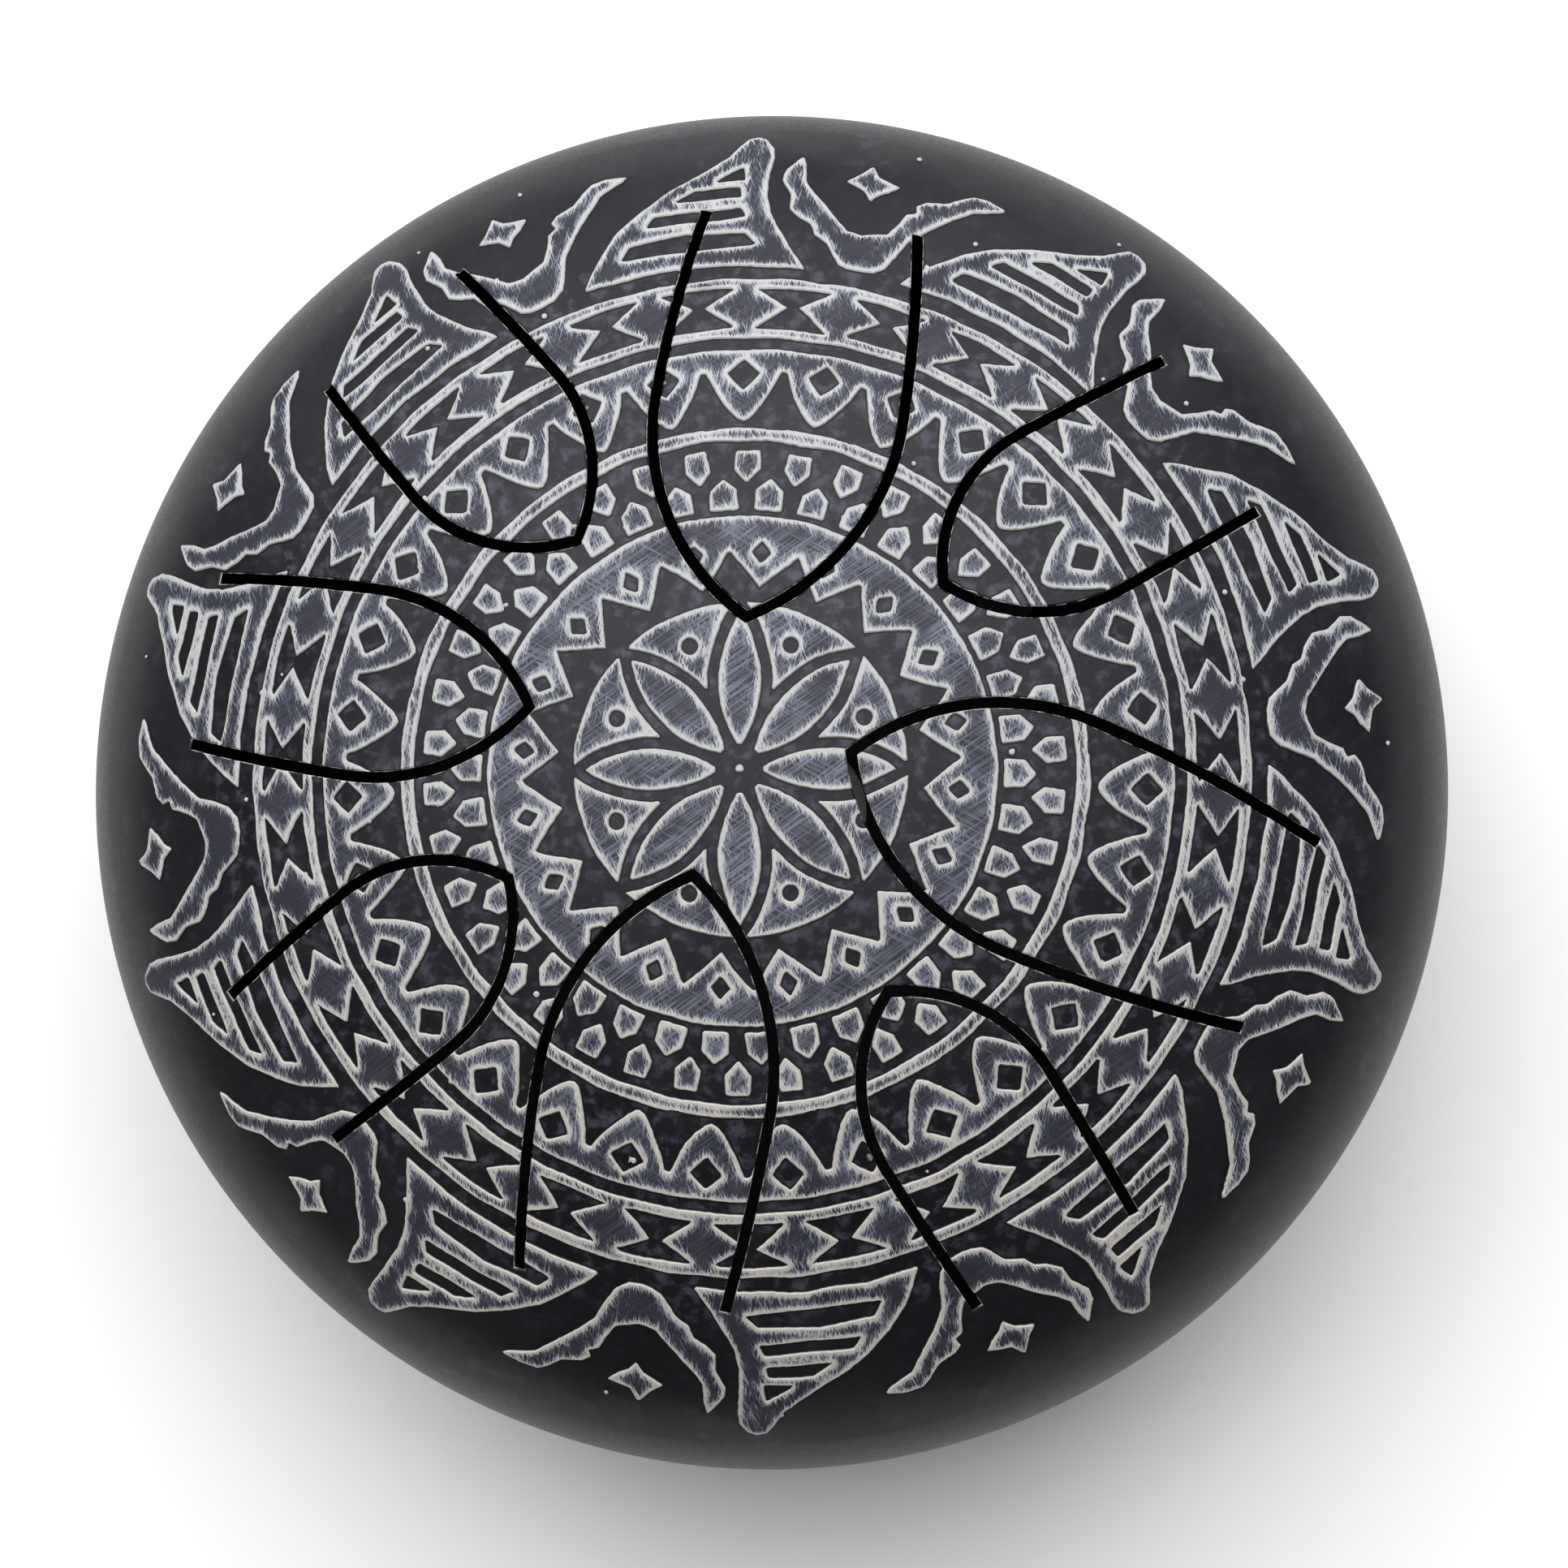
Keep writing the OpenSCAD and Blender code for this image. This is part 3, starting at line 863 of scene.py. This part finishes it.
def scratched(tree, place, radius, patches):
    """Colour inside the motifs: blue-black, rubbed pale in two crossing directions near the pole."""
    towards_pole = fade(tree, radius, 0.045, 0.115, 1.0, 0.12)
    streaks = fade(tree, brushed(tree, place, *STREAK), 0.42, 0.66)
    cross = fade(tree, brushed(tree, place, *CROSS_STREAK), 0.46, 0.70)
    scuff = times(tree, calc(tree, "MAXIMUM", streaks, cross), towards_pole)
    scuff = times(tree, scuff, fade(tree, patches, 0.30, 0.60, 0.25, 1.0))
    return mix(tree, scuff, DEEP_BLUE, RUBBED_STEEL)


def primer(tree, place, painted_side_light_y):
    """Colour of the bared primer with a fine grain; its turn from silver at the back to cream towards the
    front is painted light, set by side.
    """
    # painted light: the primer's tint goes by side, silver at the back and cream at the front, for how the
    # lamp falls on the edges
    colour = mix(tree, fade(tree, painted_side_light_y, 0.05, -0.09), SILVER, CREAM)
    grain = fade(tree, noise(tree, place, 1000.0, 4.0), *MIDDLE)
    return mix(tree, times(tree, calc(tree, "SUBTRACT", 1.0, grain), 0.35), colour, HALO)


def worn(tree, edge, fuzz, patch, widths, fade_over):
    """1 within a band of wear along the motifs' edges, as wide as widths says, fading to 0 past it."""
    everywhere, by_fuzz, by_patch = widths
    width = calc(tree, "ADD", times(tree, fuzz, by_fuzz), times(tree, patch, by_patch))
    return fade(tree, calc(tree, "SUBTRACT", calc(tree, "ADD", width, everywhere), edge), *fade_over)


def gloss(shader):
    shader.inputs["Specular IOR Level"].default_value = PAINT_GLOSS
    shader.inputs["Specular Tint"].default_value = SHEEN


def patterned_paint():
    """Black paint over the relief, rubbed through to pale primer along raised edges, with a pale line on
    the slit edges that is worn paint and a painted glint.
    """
    material, tree, shader, place = blank("worn_black_paint_and_painted_light")
    edge = node(tree, "Attribute", attribute_name="edge").outputs["Fac"]
    cut = node(tree, "Attribute", attribute_name="cut").outputs["Fac"]
    axes = node(tree, "SeparateXYZ", {0: place})
    plan = node(tree, "CombineXYZ", {0: axes.outputs[0], 1: axes.outputs[1]}).outputs[0]
    radius = node(tree, "VectorMath", {0: plan}, operation="LENGTH").outputs["Value"]
    hairs = calc(tree, "MAXIMUM", *(brushed(tree, place, *lie, *STROKE) for lie in STROKES))
    fuzz = fade(tree, hairs, 0.44, 0.70)
    patches = noise(tree, place, 75.0, 3.0)
    patch = fade(tree, patches, 0.34, 0.66)

    fringe = worn(tree, edge, fuzz, patch, FRINGE, FRINGE_FADE)
    inside = mix(tree, fringe, scratched(tree, place, radius, patches), HALO)
    bare = worn(tree, edge, fuzz, patch, BARE, BARE_FADE)
    raised = mix(tree, bare, inside, primer(tree, place, axes.outputs[1]))
    on_top = fade(tree, edge, 0.05, 0.22)
    colour = mix(tree, on_top, sunk_paint(tree, place, edge, radius), raised)
    # the slit edges' pale line is worn paint and a painted glint of the cut edge at once
    nicks = fade(tree, noise(tree, place, 420.0, 3.0), 0.42, 0.62)
    hairline_wear_and_glint = times(tree, fade(tree, cut, 0.45, 0.95), nicks)
    tree.links.new(mix(tree, hairline_wear_and_glint, colour, CREAM), shader.inputs["Base Color"])

    pores = noise(tree, place, 1500.0, 3.0)
    sound = fade(tree, pores, *MIDDLE, 0.40, 0.50)
    rubbed = fade(tree, hairs, 0.3, 0.8, 0.64, 0.50)
    dullness = node(tree, "Mix", {0: on_top, 2: sound, 3: rubbed}).outputs[0]
    tree.links.new(dullness, shader.inputs["Roughness"])
    gloss(shader)
    bump(tree, shader, calc(tree, "ADD", times(tree, pores, 0.3), times(tree, hairs, on_top)), 0.25, 0.0001)
    return material


def plain_paint():
    """The same black paint where there is no pattern."""
    material, tree, shader, place = blank("black_paint")
    tree.links.new(black_paint(tree, place), shader.inputs["Base Color"])
    rough(tree, shader, noise(tree, place, 1500.0), 0.40, 0.50)
    gloss(shader)
    bump(tree, shader, noise(tree, place, 700.0, 4.0), 0.3, 0.0001)
    return material


def weld_paint():
    """Painted weld bead: low ripples along the rim under the paint."""
    material, tree, shader, place = blank("painted_weld")
    tree.links.new(black_paint(tree, place), shader.inputs["Base Color"])
    rough(tree, shader, noise(tree, place, 600.0), 0.36, 0.52)
    bump(tree, shader, noise(tree, place, 260.0, 3.0), 0.6, 0.0004)
    return material


def rubber():
    """Matt black rubber with a finely pitted skin and a little dust."""
    material, tree, shader, place = blank("black_rubber")
    dust = fade(tree, noise(tree, place, 120.0, 5.0), 0.45, 0.75)
    tree.links.new(mix(tree, dust, RUBBER, RUBBER_DUST), shader.inputs["Base Color"])
    rough(tree, shader, noise(tree, place, 900.0), 0.62, 0.78)
    bump(tree, shader, noise(tree, place, 2200.0, 4.0), 0.5, 0.0001)
    return material


def zinc():
    """Bright zinc plate with cloudy crystals."""
    material, tree, shader, place = blank("bright_zinc")
    crystals = fade(tree, noise(tree, place, 700.0, 3.0), *MIDDLE)
    tree.links.new(mix(tree, crystals, ZINC, ZINC_PALE), shader.inputs["Base Color"])
    rough(tree, shader, noise(tree, place, 1800.0), 0.24, 0.40)
    shader.inputs["Metallic"].default_value = 1.0
    bump(tree, shader, noise(tree, place, 1200.0, 3.0), 0.25, 0.00006)
    return material


def floor_white():
    material, tree, shader, place = blank("pale_floor")
    tree.links.new(mix(tree, noise(tree, place, 3.0), FLOOR, FLOOR_PALE), shader.inputs["Base Color"])
    shader.inputs["Roughness"].default_value = 0.9
    return material


def dress(obj, material):
    obj.data.materials.clear()
    obj.data.materials.append(material)


def dress_nodes():
    """Gives each CAD node its material."""
    paint, weld, soft, screw = plain_paint(), weld_paint(), rubber(), zinc()
    for name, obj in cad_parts.items():
        if name == "seam_weld":
            dress(obj, weld)
        elif name == "port_trim" or name in {f"foot_{k}" for k in range(1, 5)}:
            dress(obj, soft)
        elif name.startswith(("foot_washer", "foot_screw")):
            dress(obj, screw)
        else:
            dress(obj, paint)


# ---------------------------------------------------------------- floor, light, camera
def studio():
    """A pale floor under one wide, soft lamp, and a faint even sky."""
    bpy.ops.mesh.primitive_plane_add(size=FLOOR_SIZE, location=(0, 0, -FLOOR_DROP))
    floor = bpy.context.object
    floor.name = "floor"
    dress(floor, floor_white())

    world = bpy.data.worlds.new("studio")
    bpy.context.scene.world = world
    world.use_nodes = True
    sky = world.node_tree.nodes["Background"]
    sky.inputs["Color"].default_value = (1, 1, 1, 1)
    sky.inputs["Strength"].default_value = WORLD_LIGHT

    middle = Vector((0, 0, SEAM_Z * MM))
    for name, place, width, depth, power in LAMPS:
        lamp = bpy.data.lights.new(name, "AREA")
        lamp.shape = "RECTANGLE"
        lamp.size, lamp.size_y = width, depth
        lamp.energy = power
        obj = bpy.data.objects.new(name, lamp)
        obj.location = place
        obj.rotation_euler = (middle - Vector(place)).to_track_quat("-Z", "Y").to_euler()
        bpy.context.collection.objects.link(obj)
    bpy.context.scene.view_settings.view_transform = "Standard"


def camera():
    """Almost straight above, leaning a little to the front right, with +Y up in the picture."""
    lean, turn = math.radians(LEAN), math.radians(LEAN_TOWARDS)
    aside = math.sin(lean)
    back = Vector((aside * math.cos(turn), aside * math.sin(turn), math.cos(lean)))
    right = Vector((0, 1, 0)).cross(back).normalized()
    up = back.cross(right)
    aim = Vector((AIM_X, AIM_Y, SEAM_Z + AIM_UP)) * MM
    lens = bpy.data.cameras.new("camera")
    lens.lens = LENS
    lens.clip_start = CLIP_START
    obj = bpy.data.objects.new("camera", lens)
    facing = Matrix((right, up, back)).transposed().to_4x4()
    obj.matrix_world = Matrix.Translation(aim + back * CAMERA_FAR) @ facing
    bpy.context.collection.objects.link(obj)
    bpy.context.scene.camera = obj


camera()
studio()
dress_nodes()
skins = build_skins()
# the worn paint also holds painted shade at the motifs' feet, a painted light tint by side on the primer
# and a painted glint on the slit edges
worn_paint_and_painted_light = patterned_paint()
for skin in skins:
    dress(skin, worn_paint_and_painted_light)
ride_skins(*skins)
